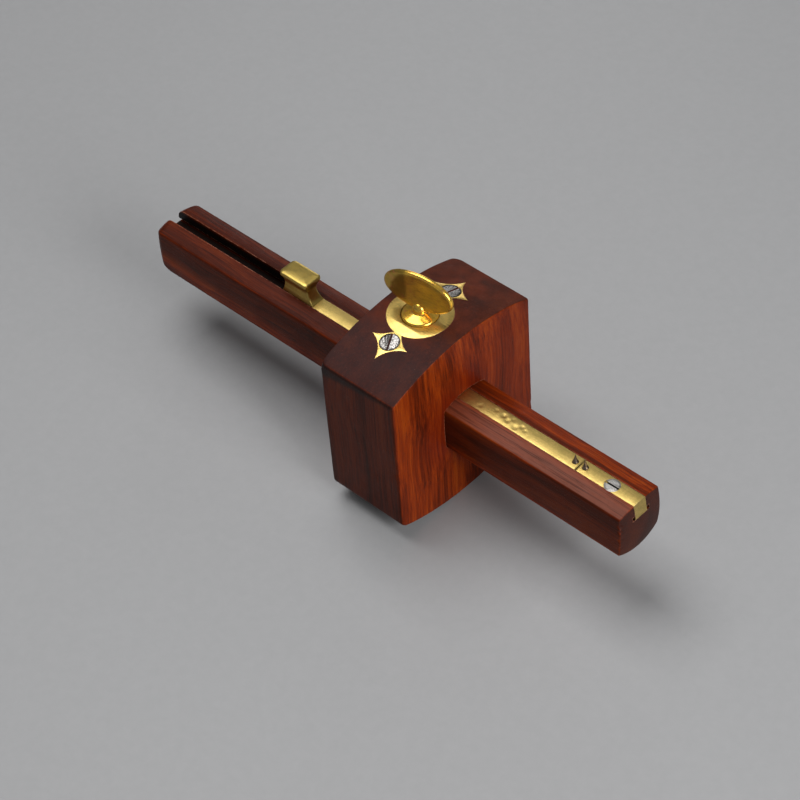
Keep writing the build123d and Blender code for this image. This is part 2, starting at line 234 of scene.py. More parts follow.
def lathe(name, profile, centre, steps=96, smooth_angle=35):
    """Solid of revolution about an upright axis, from (radius, height) points, top first."""
    angles = np.linspace(0, 2 * math.pi, steps, endpoint=False)
    rings = []
    for radius, height in profile:
        ring = np.stack([radius * np.cos(angles), radius * np.sin(angles), 0 * angles + height], 1)
        rings.append(ring + np.array(centre))
    return make_object(name, *capped_rings(rings), smooth_angle=smooth_angle)


def arc_points(centre, radius, start, stop, steps):
    """Points of an arc, in degrees, both ends included."""
    turn = np.radians(np.linspace(start, stop, steps + 1))
    return [(centre[0] + radius * math.cos(t), centre[1] + radius * math.sin(t)) for t in turn]


def points_of(obj, field="co"):
    """The vertices' places or normals as an array."""
    values = np.empty(3 * len(obj.data.vertices), np.float32)
    obj.data.vertices.foreach_get(field, values)
    return values.reshape(-1, 3).astype(float)


def move_points(obj, points):
    obj.data.vertices.foreach_set("co", points.astype(np.float32).ravel())
    obj.data.update()


def roughen(obj, amount, size, seed=0.0):
    """Moves the vertices along their normals by smooth noise: the unevenness of hand work."""
    points, normals = points_of(obj), points_of(obj, "normal")
    shift = Vector((seed, 2 * seed, 3 * seed))
    values = [noise.fractal(Vector(p) / size + shift, 1.0, 2.0, 3) for p in points]
    move_points(obj, points + normals * (amount * np.array(values))[:, None])


def dent(obj, centre, radius, depth, direction):
    """Presses a round dent, or knocks a chip off an edge."""
    points = points_of(obj)
    push = np.array(Vector(direction).normalized()) * depth
    share = np.clip(np.linalg.norm(points - np.array(centre), axis=1) / radius, 0, 1)
    move_points(obj, points + push * ((1 - share * share) ** 2)[:, None])


# ---------------------------------------------------------------- arched blocks of wood


ARCH_STEPS, CORNER_STEPS, SIDE_STEPS = 26, 6, 22


def quarter(half, height, radius, corner):
    """Points from an arch's crest round its corner and down the side to the axis's level."""
    centre = height - radius
    corner_y = half - corner
    corner_z = centre + math.sqrt((radius - corner) ** 2 - corner_y ** 2)
    meet = math.atan2(corner_z - centre, corner_y)
    turns = np.linspace(math.pi / 2, meet, ARCH_STEPS + 1)
    points = [(radius * math.cos(t), centre + radius * math.sin(t)) for t in turns]
    turns = np.linspace(meet, 0, CORNER_STEPS + 1)[1:]
    points += [(corner_y + corner * math.cos(t), corner_z + corner * math.sin(t)) for t in turns]
    points += [(half, z) for z in np.linspace(corner_z, 0, SIDE_STEPS + 1)[1:]]
    return np.array(points)


def arched_ring(x, near, far, top, bottom, bulge=0.0):
    """Closed outline at one place along X. near and far are half widths, top and bottom are
    (height, arch radius, corner on the near side, corner on the far side)."""
    quarters = []
    for half, side in ((far, 3), (near, 2)):
        upper = quarter(half, top[0], top[1], top[side])
        lower = quarter(half, bottom[0], bottom[1], bottom[side]) * np.array([1, -1])
        quarters.append(np.concatenate([upper, lower[::-1][1:]]))
    far_points, near_points = quarters
    near_points = near_points * np.array([-1, 1])
    points = np.concatenate([far_points, near_points[::-1][1:-1]])
    upright = np.clip(1 - (points[:, 1] / (0.8 * top[0])) ** 2, 0, 1)
    points[:, 0] += bulge * upright * np.sign(points[:, 0]) * (np.abs(points[:, 0]) > 0.9 * min(near, far))
    return np.column_stack([np.full(len(points), x), points[:, 0], points[:, 1] + AXIS_Z])


def end_inset(depth, radius):
    """How far a rounded end stands back from the side at some depth from the end face."""
    left = max(radius - depth, 0)
    return radius - math.sqrt(max(radius ** 2 - left ** 2, 0))


def end_depths(radius, steps=9):
    """Depths from an end face at which rings follow a rounding of that radius closely."""
    return [radius * (1 - math.sin(t)) for t in np.linspace(math.pi / 2, 0, steps)]


def end_rings(ring, count=13):
    """Ever smaller rings that fill a block's flat end towards its middle."""
    centre = np.array([ring[0, 0], 0, AXIS_Z])
    return [ring + (centre - ring) * share for share in np.linspace(0, 1, count + 1)[1:-1]]


def closed_block(name, rings):
    rings = end_rings(rings[0])[::-1] + rings + end_rings(rings[-1])
    return make_object(name, *capped_rings(rings))


def head_ring(x):
    """The head's section at x, drawn in where its upright corners are rounded."""
    back, front = x - HEAD_LOW.x, HEAD_HIGH.x - x
    depth = min(back, front)
    near = HEAD_HALF - end_inset(depth, HEAD_CORNER_RADIUS)
    far = HEAD_HALF - max(end_inset(front, HEAD_CORNER_RADIUS), end_inset(back, HEAD_WORN_CORNER_RADIUS))
    rise = HEAD_RISE - end_inset(depth, HEAD_END_EASING)
    top = (rise, HEAD_CROWN_RADIUS, HEAD_SHOULDER_RADIUS, HEAD_SHOULDER_RADIUS)
    bottom = (rise, HEAD_CROWN_RADIUS, HEAD_FOOT_RADIUS, HEAD_FOOT_RADIUS)
    return arched_ring(x, near, far, top, bottom)


def stem_ring(x, clearance=0.0):
    """The stem's section at x, drawn in towards the rounded tail and the eased pin end."""
    inset = max(end_inset(x - STEM_LOW.x, STEM_TAIL_RADIUS), end_inset(STEM_HIGH.x - x, STEM_EDGE_RADIUS))
    foot_inset = max(inset, end_inset(x - STEM_LOW.x, STEM_TAIL_FOOT_RADIUS))
    half = STEM_HALF - inset + clearance
    top = (STEM_RISE - inset + clearance, STEM_TOP_RADIUS, STEM_NEAR_EDGE_RADIUS, STEM_EDGE_RADIUS)
    bottom = (STEM_DROP - foot_inset + clearance, STEM_BOTTOM_RADIUS, STEM_EDGE_RADIUS, STEM_EDGE_RADIUS)
    return arched_ring(x, half, half, top, bottom, STEM_SIDE_BULGE)


def dome_setback(y, z):
    """How far the domed pin end stands back from its apex."""
    return STEM_DOME_RADIUS - np.sqrt(STEM_DOME_RADIUS ** 2 - y ** 2 - (z - AXIS_Z) ** 2)


def dome_pin_end(obj, apex, reach=6 * MM):
    """Files the end of a piece of the stem to the shared dome, easing in over reach."""
    points = points_of(obj)
    share = smoothstep(apex - reach, apex, points[:, 0])
    points[:, 0] -= share * dome_setback(points[:, 1], points[:, 2])
    move_points(obj, points)


def head_wood():
    """The head, with worn corners, its mortise and the recess for the plate."""
    back = [HEAD_LOW.x + d for d in end_depths(HEAD_WORN_CORNER_RADIUS, 12)]
    front = [HEAD_HIGH.x - d for d in end_depths(HEAD_CORNER_RADIUS)[::-1]]
    eased = [HEAD_LOW.x + d for d in end_depths(HEAD_END_EASING, 6)[1:-1]]
    places = sorted(back + eased + list(span(back[-1], front[0], 1.0 * MM)[1:-1]) + front)
    head = closed_block("head_wood", [head_ring(x) for x in places])
    roughen(head, -0.05 * MM, 14 * MM, seed=3)
    nick_edges(head)
    keep_inside(head, HEAD_LOW, HEAD_HIGH)
    mortise = stem_ring(0, MORTISE_CLEARANCE)[:, 1:]
    cut(head,
        prism("mortise_cutter", mortise, 0, HEAD_LOW.x - 5 * MM, HEAD_HIGH.x + 5 * MM),
        node_solid("plate_cutter", "head_plate"),
        boss_well())
    return finish_piece(head, "head", "head_rosewood", "head_block")


def nick_edges(head):
    """Small knocks along the head's edges: each one's place, then its radius and depth in
    millimetres."""
    front, back, side = HEAD_HIGH.x, HEAD_LOW.x, HEAD_HALF
    shoulder = HEAD_TOP - 6.6 * MM
    nicks = [(front, -side, AXIS_Z - 3 * MM, 1.8, 0.35), (front, -side, AXIS_Z + 9 * MM, 1.3, 0.2),
             (front, -side, 9 * MM, 1.6, 0.3), (front, -0.62 * side, HEAD_TOP - 2.5 * MM, 1.3, 0.25),
             (front, 0.7 * side, HEAD_TOP - 3.2 * MM, 1.2, 0.2), (back, -side, shoulder, 2.2, 0.5),
             (back, 0.2 * side, HEAD_TOP, 1.5, 0.25), (front, side, 14 * MM, 1.5, 0.3)]
    for x, y, z, radius, depth in nicks:
        direction = (HEAD_CENTRE.x - x, -y, 0.35 * (HEAD_CENTRE.z - z))
        dent(head, (x, y, z), radius * MM, depth * MM, direction)


def boss_well():
    """Clears the head below the hole in the plate."""
    radius = 7.2 * MM
    profile = [(radius, HEAD_TOP), (radius, HEAD_TOP - 4 * MM)]
    return lathe("well_cutter", profile, (CLAMP_X, 0, 0), steps=48)


def stem_wood():
    """The stem, rounded at its tail and domed at the pin end, with its undercut groove. Each
    chip in the near edge has its drop below the first one, its radius and its depth, in
    millimetres."""
    tail = [STEM_LOW.x + d for d in end_depths(STEM_TAIL_FOOT_RADIUS, 22)]
    pin_end = [STEM_HIGH.x - d for d in end_depths(STEM_EDGE_RADIUS)[::-1]]
    chipped = STEM_HIGH.x - 7 * MM
    middle = list(span(tail[-1], chipped, 1.6 * MM)[1:])
    middle += list(span(chipped, pin_end[0], 0.4 * MM)[1:-1])
    stem = closed_block("stem_wood", [stem_ring(x) for x in tail + middle + pin_end])
    dome_pin_end(stem, STEM_HIGH.x)
    roughen(stem, -0.04 * MM, 18 * MM, seed=5)
    edge = Vector((STEM_HIGH.x - 1.0 * MM, -STEM_HALF, AXIS_Z + 5.6 * MM))
    chips = [(0, 1.5, 0.75), (2.3, 1.2, 0.6), (-1.9, 1.0, 0.4), (6, 1.3, 0.45), (10, 1.0, 0.3)]
    for drop, radius, depth in chips:
        dent(stem, edge - Vector((0, 0, drop * MM)), radius * MM, depth * MM, (-0.9, 1, 0))
    keep_inside(stem, STEM_LOW, STEM_HIGH)
    cut(stem, *groove_cutters())
    return finish_piece(stem, "stem", "stem_rosewood", "stem_beam")


def groove_cutters():
    """The groove's mouth and its wider foot, each running out past both ends of the stem."""
    low, high = STEM_LOW.x - 5 * MM, STEM_HIGH.x + 5 * MM
    mouth = rectangle(BAR_Y - GROOVE_WIDTH / 2, BAR_Y + GROOVE_WIDTH / 2,
                      GROOVE_FLOOR + 0.5 * UNDERCUT_HEIGHT, BAR_TOP + 2 * MM)
    undercut = rectangle(BAR_Y - UNDERCUT_WIDTH / 2, BAR_Y + UNDERCUT_WIDTH / 2,
                         GROOVE_FLOOR, GROOVE_FLOOR + UNDERCUT_HEIGHT)
    return prism("mouth_cutter", mouth, 0, low, high), prism("undercut_cutter", undercut, 0, low, high)


def keep_inside(obj, low, high):
    """Holds a roughened piece inside its CAD node's box."""
    move_points(obj, np.clip(points_of(obj), np.array(low), np.array(high)))


def node_solid(name, node):
    """A free copy of a CAD node's mesh, to cut with or to build on."""
    obj = bpy.data.objects.new(name, frame["nodes"][node].data.copy())
    bpy.context.scene.collection.objects.link(obj)
    obj.data.materials.clear()
    if "custom_normal" in obj.data.attributes:
        obj.data.attributes.remove(obj.data.attributes["custom_normal"])
    tidy_mesh(obj)
    return obj


def finish_piece(obj, body, slot, *nodes):
    """Gives a piece its body and its material slot, and hides the CAD nodes that it stands for."""
    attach(obj, body)
    if nodes:
        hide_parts(*nodes)
    obj.data.materials.clear()
    obj.data.materials.append(MATERIALS[slot])
    return obj


# ---------------------------------------------------------------- brass in the stem


def bar_section(foot_width, foot_height, floor):
    """Outline of the bar or end plate: arched top, upright sides and an undercut foot."""
    half = BAR_WIDTH / 2
    ease = 0.14 * MM
    top = [(y, arch_height(y)) for y in np.linspace(BAR_Y - half + ease, BAR_Y + half - ease, 19)]
    sides = []
    for side, (y, shoulder) in ((1, top[-1]), (-1, top[0])):
        points = [(y + side * ease * math.sin(t), shoulder + ease * (math.cos(t) - 1))
                  for t in np.radians([25, 50, 75, 90])]
        levels = np.linspace(shoulder - ease, floor + foot_height, 8)[1:-1]
        points += [(BAR_Y + side * half, z) for z in levels]
        if foot_height:
            points += [(BAR_Y + side * half, floor + foot_height),
                       (BAR_Y + side * foot_width / 2, floor + foot_height)]
        points.append((BAR_Y + side * foot_width / 2, floor))
        sides.append(points)
    right, left = sides
    return top + right + left[::-1]


def arch_height(y):
    """Height of the stem's arched top at y."""
    return BAR_TOP - STEM_TOP_RADIUS + math.sqrt(STEM_TOP_RADIUS ** 2 - y ** 2)


def swept_bar(name, section, stations):
    """Solid from one outline across X at every station."""
    outline = np.array(section)
    rings = [np.column_stack([np.full(len(outline), x), outline]) for x in stations]
    verts = np.concatenate(rings)
    count = len(outline)
    faces = ring_faces(len(rings), count)
    faces.append(tuple(range(count - 1, -1, -1)))
    faces.append(tuple(range(len(verts) - count, len(verts))))
    return make_object(name, verts, faces)


def soften_end(bar, end, inward, width=0.3 * MM, drop=0.12 * MM):
    """Files the top edge of a bar's end a little lower."""
    points = points_of(bar)
    near_end = smoothstep(end + inward * width, end, points[:, 0])
    points[:, 2] -= drop * near_end * (points[:, 2] > BAR_TOP - 1 * MM)
    move_points(bar, points)


def brass_bar():
    """The slide bar, with a rebate for the knob and small bruises near the head. Each bruise
    has its reach beyond the fence, its place across the bar, its radius and its depth, in
    millimetres."""
    section = bar_section(BAR_FOOT_WIDTH, BAR_FOOT_HEIGHT, BAR_LOW.z)
    stations = span(BAR_LOW.x, BAR_HIGH.x - 0.3 * MM, 0.45 * MM)
    stations = np.append(stations, [BAR_HIGH.x - 0.15 * MM, BAR_HIGH.x])
    bar = swept_bar("brass_bar", section, stations)
    soften_end(bar, BAR_HIGH.x, -1)
    shoulder = BAR_LOW.x + KNOB_BASE_LENGTH
    bruises = [(17.0, 0.6, 1.5, 0.16), (19.1, -0.3, 1.3, 0.12), (20.5, 1.2, 1.1, 0.10),
               (22.9, -0.9, 1.6, 0.14), (24.7, 0.5, 1.2, 0.15), (26.5, -0.2, 1.0, 0.10),
               (13.7, 0.9, 1.2, 0.09), (29.8, 1.0, 0.9, 0.07), (8.0, -0.8, 1.3, 0.08)]
    for reach, y, radius, depth in bruises:
        place = (HEAD_HIGH.x + reach * MM, BAR_Y + y * MM, BAR_TOP)
        dent(bar, place, radius * MM, depth * MM, (0.15, 0, -1))
    cut(bar, prism("rebate_cutter", rectangle(-4 * MM, 4 * MM, BAR_TOP - BAR_REBATE, BAR_TOP + 2 * MM),
                   0, BAR_LOW.x - 2 * MM, shoulder))
    return finish_piece(bar, "slide", "bar_brass", "slide_bar")


def brass_end_plate():
    """The fixed brass at the pin end, filed to the stem's dome and countersunk for its screw."""
    section = bar_section(END_PLATE_HIGH.y - END_PLATE_LOW.y, 0, END_PLATE_LOW.z)
    split, apex = END_PLATE_LOW.x, STEM_HIGH.x
    stations = [split, split + 0.15 * MM, *span(split + 0.3 * MM, apex, 0.45 * MM)]
    plate = swept_bar("brass_end_plate", section, stations)
    dome_pin_end(plate, apex)
    soften_end(plate, split, 1)
    low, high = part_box("end_plate_screw")
    screw = (low + high) / 2
    radius = (high.y - low.y) / 2 + 0.05 * MM
    bore = 1.3 * MM
    profile = [(radius, 3 * MM), (radius, 0), (radius, -0.25 * MM), (bore, -1.7 * MM), (bore, -9 * MM)]
    cut(plate, lathe("countersink_cutter", profile, (screw.x, screw.y, high.z), steps=64))
    return finish_piece(plate, "stem", "bar_brass", "end_plate")


# ---------------------------------------------------------------- knob


def rounded_rectangle(low_x, high_x, half, low_radius, high_radius):
    """Plan outline with its own corner radius at each end."""
    corners = [((high_x - high_radius, half - high_radius), high_radius, 0),
               ((low_x + low_radius, half - low_radius), low_radius, 90),
               ((low_x + low_radius, -half + low_radius), low_radius, 180),
               ((high_x - high_radius, -half + high_radius), high_radius, 270)]
    points = []
    for centre, radius, start in corners:
        points += arc_points(centre, radius, start, start + 90, 8)
    return np.array(points)


def thumb_knob():
    """Waisted knob. Each row gives a level's height, two ends, half width, corner radius at
    the tail and at the head end, and how far it is shifted across the bar."""
    rows = np.array([
        [-1.20, 0.00, 14.10, 2.70, 0.20, 0.20, 0.00],
        [0.10, 0.00, 14.10, 2.70, 0.25, 0.25, 0.00],
        [0.35, 0.10, 13.70, 2.66, 0.40, 0.40, 0.00],
        [1.20, 0.35, 12.95, 2.50, 0.50, 0.50, 0.00],
        [2.40, 0.55, 12.20, 2.28, 0.50, 0.50, 0.05],
        [3.60, 0.50, 11.70, 2.20, 0.50, 0.50, 0.15],
        [4.80, 0.15, 11.45, 2.50, 0.60, 0.50, 0.40],
        [5.70, -0.45, 11.60, 3.15, 0.90, 0.60, 0.72],
        [6.25, -0.85, 11.85, 3.65, 1.30, 0.80, 0.84],
        [6.60, -0.98, 11.97, 3.86, 1.55, 1.00, 0.85],
        [7.20, -1.00, 12.00, 3.90, 1.60, 1.10, 0.85],
        [7.55, -0.95, 11.94, 3.84, 1.60, 1.10, 0.85],
        [7.82, -0.72, 11.70, 3.60, 1.45, 0.95, 0.85],
        [7.98, -0.25, 11.20, 3.10, 1.20, 0.70, 0.85],
        [8.10, 1.20, 9.70, 1.90, 0.80, 0.40, 0.85],
        [8.16, 3.00, 7.90, 0.70, 0.30, 0.30, 0.85],
    ]) * MM
    fine = np.concatenate([np.linspace(a, b, 5)[:-1] for a, b in zip(rows[:-1, 0], rows[1:, 0])])
    fine = np.append(fine, rows[-1, 0])
    rings = []
    for z in fine:
        *level, aside = [smooth_interpolate(rows[:, 0], rows[:, c], z) for c in range(1, 7)]
        plan = rounded_rectangle(*level) + np.array([BAR_LOW.x, BAR_Y + aside])
        rings.append(np.column_stack([plan, np.full(len(plan), z + BAR_TOP)]))
    knob = make_object("thumb_knob", *capped_rings(rings), smooth_angle=50)
    roughen(knob, -0.04 * MM, 3.5 * MM, seed=2)
    return finish_piece(knob, "slide", "knob_brass", "slide_knob")


def smooth_interpolate(xs, ys, x):
    """Monotone cubic interpolation, so that the flanks sweep without overshooting."""
    slopes = np.diff(ys) / np.diff(xs)
    tangents = np.concatenate([[slopes[0]], np.zeros(len(slopes) - 1), [slopes[-1]]])
    for i in range(1, len(slopes)):
        if slopes[i - 1] * slopes[i] > 0:
            tangents[i] = 2 / (1 / slopes[i - 1] + 1 / slopes[i])
    i = min(max(int(np.searchsorted(xs, x)) - 1, 0), len(slopes) - 1)
    width = xs[i + 1] - xs[i]
    t = (x - xs[i]) / width
    return ((2 * t ** 3 - 3 * t ** 2 + 1) * ys[i] + (t ** 3 - 2 * t ** 2 + t) * width * tangents[i]
            + (3 * t ** 2 - 2 * t ** 3) * ys[i + 1] + (t ** 3 - t ** 2) * width * tangents[i + 1])


# ---------------------------------------------------------------- thumbscrew


def thumb_wing():
    """Upright oval plate, dished on both faces, with a round rim."""
    half_width, half_height, half_thickness = (size / 2 for size in WING_SIZE)
    turn = np.linspace(0, 2 * math.pi, 144, endpoint=False)
    oval = np.stack([half_width * np.cos(turn), half_height * np.sin(turn)], 1)
    normal = np.stack([np.cos(turn) / half_width, np.sin(turn) / half_height], 1)
    normal /= np.linalg.norm(normal, axis=1)[:, None]
    rim_depth = 0.8 * MM
    front = []
    for share in np.linspace(0.03, 0.97, 22):
        hollow = smoothstep(0.1, 0.95, share)
        front.append(((oval - normal * rim_depth) * share, half_thickness * (0.55 + 0.45 * hollow)))
    for t in np.radians(np.linspace(90, 8, 9)):
        front.append((oval - normal * rim_depth * (1 - math.cos(t)), half_thickness * math.sin(t)))
    rings = [np.column_stack([xz[:, 0], np.full(len(xz), -y), xz[:, 1]]) for xz, y in front]
    rings.append(np.column_stack([oval[:, 0], 0 * turn, oval[:, 1]]))
    rings += [ring * np.array([1, -1, 1]) for ring in rings[-2::-1]]
    wing = make_object("wing_oval", *capped_rings(rings), smooth_angle=60)
    roughen(wing, -0.05 * MM, 6 * MM, seed=4)
    wing.data.transform(Matrix.Translation(WING_CENTRE) @ Matrix.Rotation(WING_ANGLE, 4, "Z"))
    return finish_piece(wing, "thumbscrew", "thumb_brass", "thumb_wing")


def clamp_boss():
    """Turned boss with a rounded rim and a bead at its neck, on its threaded shank."""
    seat = BOSS_HIGH.z - NECK_TOP
    bead = NECK_TOP - NECK_RADIUS
    profile = arc_points((0, bead), NECK_RADIUS, 88, -6, 14)
    profile += [(2.38 * MM, 3.15 * MM), (2.42 * MM, 2.98 * MM), (2.62 * MM, 2.80 * MM),
                (3.10 * MM, 2.62 * MM), (3.80 * MM, 2.42 * MM), (4.60 * MM, 2.14 * MM)]
    profile += arc_points((BOSS_RADIUS - 0.9 * MM, 1.05 * MM), 0.9 * MM, 72, 0, 8)
    profile += [(BOSS_RADIUS, 0.3 * MM), (BOSS_RADIUS - 0.15 * MM, 0.0), (SHANK_RADIUS, -0.02 * MM)]
    profile += shank_profile(seat)
    boss = lathe("clamp_boss", profile, (CLAMP_X, 0, seat), steps=128, smooth_angle=32)
    roughen(boss, -0.03 * MM, 2.5 * MM, seed=6)
    return finish_piece(boss, "thumbscrew", "thumb_brass", "clamp_screw")


def shank_profile(seat):
    """Threaded shank from under the boss down to its plain nose."""
    nose_end = BOSS_LOW.z - seat
    shank_end = nose_end + 1.5 * MM
    pitch = 1.27 * MM
    crest = SHANK_RADIUS
    root = SHANK_RADIUS - 0.35 * MM
    points = []
    for i in range(int((-0.6 * MM - shank_end) / pitch)):
        top = -0.6 * MM - i * pitch
        points += [(crest, top), (root, top - 0.45 * pitch), (crest, top - 0.9 * pitch)]
    return points + [(crest, shank_end), (NOSE_RADIUS, shank_end), (NOSE_RADIUS, nose_end)]


# ---------------------------------------------------------------- pins, screws and plate


def scribing_pin(name, node, body):
    """Hand-filed point: it tapers in a slight hollow from its rounded base to the tip."""
    low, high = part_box(node)
    centre = (low + high) / 2
    height = high.z - BAR_TOP
    profile = [(0.07, 1.0), (0.13, 0.94), (0.22, 0.80), (0.34, 0.62), (0.50, 0.44),
               (0.70, 0.29), (0.92, 0.16), (1.08, 0.07), (1.15, 0.0), (1.12, -0.05), (0.8, -0.08)]
    profile = [(r * MM, BAR_TOP + z * height) for r, z in profile]
    profile.append((0.8 * MM, low.z))
    pin = lathe(name, profile, (centre.x, centre.y, 0), steps=40, smooth_angle=50)
    roughen(pin, -0.05 * MM, 0.9 * MM, seed=centre.x)
    return finish_piece(pin, body, "pin_steel", node)


def refined(name, node, body, slot, width):
    """Stands for a CAD node with the same shape, but with its sharp edges worn round."""
    obj = node_solid(name, node)
    bevel(obj, width, angle=30)
    return finish_piece(obj, body, slot, node)


def build_pieces():
    """Every visible piece. The three inner nodes keep their CAD shape."""
    head_wood()
    stem_wood()
    brass_bar()
    brass_end_plate()
    thumb_knob()
    thumb_wing()
    clamp_boss()
    scribing_pin("pin_fixed", "fixed_pin", "stem")
    scribing_pin("pin_moving", "moving_pin", "slide")
    refined("plate_inlay", "head_plate", "head", "plate_brass", 0.10 * MM)
    refined("screw_near", "plate_screw_near", "head", "dark_steel", 0.12 * MM)
    refined("screw_far", "plate_screw_far", "head", "dark_steel", 0.12 * MM)
    refined("screw_end", "end_plate_screw", "stem", "bright_steel", 0.06 * MM)
    for node in ("pressure_pad", "clamp_bush", "knob_rivets"):
        materials = frame["nodes"][node].data.materials
        materials.clear()
        materials.append(MATERIALS["inner_brass"])


# ---------------------------------------------------------------- materials

# Linear colours of the woods and metals, and of the shade, sheen and reflections painted on them
DARK_STREAK = (0.030, 0.0075, 0.0030)
OPEN_PORE = (0.020, 0.0060, 0.0030)
# Lighter edges of the rosewood: partly wear, partly a painted highlight
WORN_EDGE_AND_HIGHLIGHT = (0.480, 0.200, 0.120)
TOP_DARK = (0.034, 0.0095, 0.0055)
TOP_RED = (0.085, 0.0180, 0.0080)
# Dark stain that is also a painted sheen, a greyish veil on the head's top
TOP_STAIN_AND_SHEEN = (0.030, 0.0165, 0.0165)
PALE_FLECK = (0.20, 0.10, 0.07)
HEAD_SIDE_BROWN_AND_SHADE = (0.026, 0.0062, 0.0026)
STAIN_BAND = (0.016, 0.0105, 0.0095)
MORTISE_RED = (0.130, 0.0085, 0.0028)
FAR_BROWN = (0.150, 0.0190, 0.0052)
STEM_SIDE_BROWN_AND_SHADE = (0.036, 0.0080, 0.0028)
PAINTED_SHEEN_STRIP = (0.220, 0.0800, 0.0520)
STRIP_STREAK = (0.034, 0.0085, 0.0050)
TAIL_PAINTED_SHADE = (0.034, 0.0060, 0.0026)
PAINTED_BAND_BESIDE_BRASS = (0.040, 0.0070, 0.0030)
END_GRAIN = (0.034, 0.0150, 0.0120)
GROOVE_PAINTED_SHADE = (0.008, 0.0040, 0.0030)
BRASS_PIT = (0.16, 0.07, 0.02)
WING_PAINTED_REFLECTION = (0.26, 0.17, 0.03)
RED_TRACE = (0.72, 0.26, 0.12)
BRIGHT_EDGE = (0.95, 0.74, 0.32)
SLOT_BLACK = (0.03, 0.026, 0.022)
GOLD = (0.82, 0.56, 0.16)
OLIVE = (0.46, 0.34, 0.10)


class Graph:
    """A procedural material under construction: small wrappers around shader nodes."""

    def __init__(self, name):
        self.material = bpy.data.materials.new(name)
        self.material.use_nodes = True
        self.tree = self.material.node_tree
        self.shader = self.tree.nodes["Principled BSDF"]
        self.coords = self.tree.nodes.new("ShaderNodeTexCoord")
        self.place = self.scaled(self.coords.outputs["Object"], 1 / MM)

    def feed(self, value, socket):
        """Links a socket, or sets a constant, on an input."""
        if isinstance(value, bpy.types.NodeSocket):
            self.tree.links.new(value, socket)
        elif value is not None:
            socket.default_value = value

    def math(self, operation, a, b=None, c=None, clamp=False):
        """One step of arithmetic on up to three values."""
        node = self.tree.nodes.new("ShaderNodeMath")
        node.operation = operation
        node.use_clamp = clamp
        for value, socket in zip((a, b, c), node.inputs):
            self.feed(value, socket)
        return node.outputs[0]

    def scaled(self, vector, factor):
        node = self.tree.nodes.new("ShaderNodeVectorMath")
        node.operation = "SCALE"
        self.feed(vector, node.inputs[0])
        node.inputs["Scale"].default_value = factor
        return node.outputs[0]

    def vector(self, operation, a, b):
        node = self.tree.nodes.new("ShaderNodeVectorMath")
        node.operation = operation
        self.feed(a, node.inputs[0])
        self.feed(b, node.inputs[1])
        return node.outputs[0]

    def length(self, vector):
        node = self.tree.nodes.new("ShaderNodeVectorMath")
        node.operation = "LENGTH"
        self.feed(vector, node.inputs[0])
        return node.outputs["Value"]

    def rounded_edge_mask(self, radius):
        """1 on edges and corners of about that radius, 0 on flat stretches."""
        rounded = self.tree.nodes.new("ShaderNodeBevel")
        rounded.samples = 4
        rounded.inputs["Radius"].default_value = radius
        true = self.tree.nodes.new("ShaderNodeNewGeometry").outputs["Normal"]
        node = self.tree.nodes.new("ShaderNodeVectorMath")
        node.operation = "DOT_PRODUCT"
        self.feed(rounded.outputs[0], node.inputs[0])
        self.feed(true, node.inputs[1])
        return self.smooth(node.outputs["Value"], 0.97, 0.80)

    def split(self, vector):
        node = self.tree.nodes.new("ShaderNodeSeparateXYZ")
        self.feed(vector, node.inputs[0])
        return node.outputs

    def noise(self, vector, detail=3, roughness=0.55, colour=False):
        node = self.tree.nodes.new("ShaderNodeTexNoise")
        self.feed(vector, node.inputs["Vector"])
        node.inputs["Scale"].default_value = 1.0
        node.inputs["Detail"].default_value = detail
        node.inputs["Roughness"].default_value = roughness
        node.inputs["Distortion"].default_value = 0.0
        return node.outputs["Color" if colour else "Fac"]

    def stretched(self, sizes, shift=0.0, vector=None, **noise_settings):
        """Noise whose features measure sizes, in millimetres along X, Y and Z."""
        node = self.tree.nodes.new("ShaderNodeMapping")
        self.feed(self.place if vector is None else vector, node.inputs["Vector"])
        node.inputs["Scale"].default_value = [1 / size for size in sizes]
        node.inputs["Location"].default_value = (shift, 1.7 * shift, 2.9 * shift)
        return self.noise(node.outputs[0], **noise_settings)

    def smooth(self, value, low, high, to_low=0.0, to_high=1.0):
        """Smoothly maps value from low..high to to_low..to_high."""
        node = self.tree.nodes.new("ShaderNodeMapRange")
        node.interpolation_type = "SMOOTHSTEP"
        for socket, number in zip(node.inputs, (value, low, high, to_low, to_high)):
            self.feed(number, socket)
        return node.outputs[0]

    def linear(self, value, low, high, to_low=0.0, to_high=1.0):
        """Maps value from low..high to to_low..to_high along a straight line."""
        node = self.tree.nodes.new("ShaderNodeMapRange")
        for socket, number in zip(node.inputs, (value, low, high, to_low, to_high)):
            self.feed(number, socket)
        return node.outputs[0]

    def ramp(self, value, *stops):
        """Colours at places from 0 to 1."""
        node = self.tree.nodes.new("ShaderNodeValToRGB")
        self.feed(value, node.inputs["Fac"])
        elements = node.color_ramp.elements
        while len(elements) < len(stops):
            elements.new(0.5)
        for element, (position, colour) in zip(elements, stops):
            element.position = position
            element.color = (*colour, 1)
        return node.outputs["Color"]

    def mix(self, share, a, b, blend="MIX"):
        node = self.tree.nodes.new("ShaderNodeMix")
        node.data_type = "RGBA"
        node.blend_type = blend
        self.feed(share, node.inputs[0])
        for colour, socket in ((a, node.inputs[6]), (b, node.inputs[7])):
            self.feed((*colour, 1) if isinstance(colour, tuple) else colour, socket)
        return node.outputs[2]

    def bump(self, height, depth):
        """depth is the height of the bumps, in metres."""
        node = self.tree.nodes.new("ShaderNodeBump")
        node.inputs["Strength"].default_value = 1.0
        node.inputs["Distance"].default_value = depth
        self.feed(height, node.inputs["Height"])
        return node.outputs["Normal"]

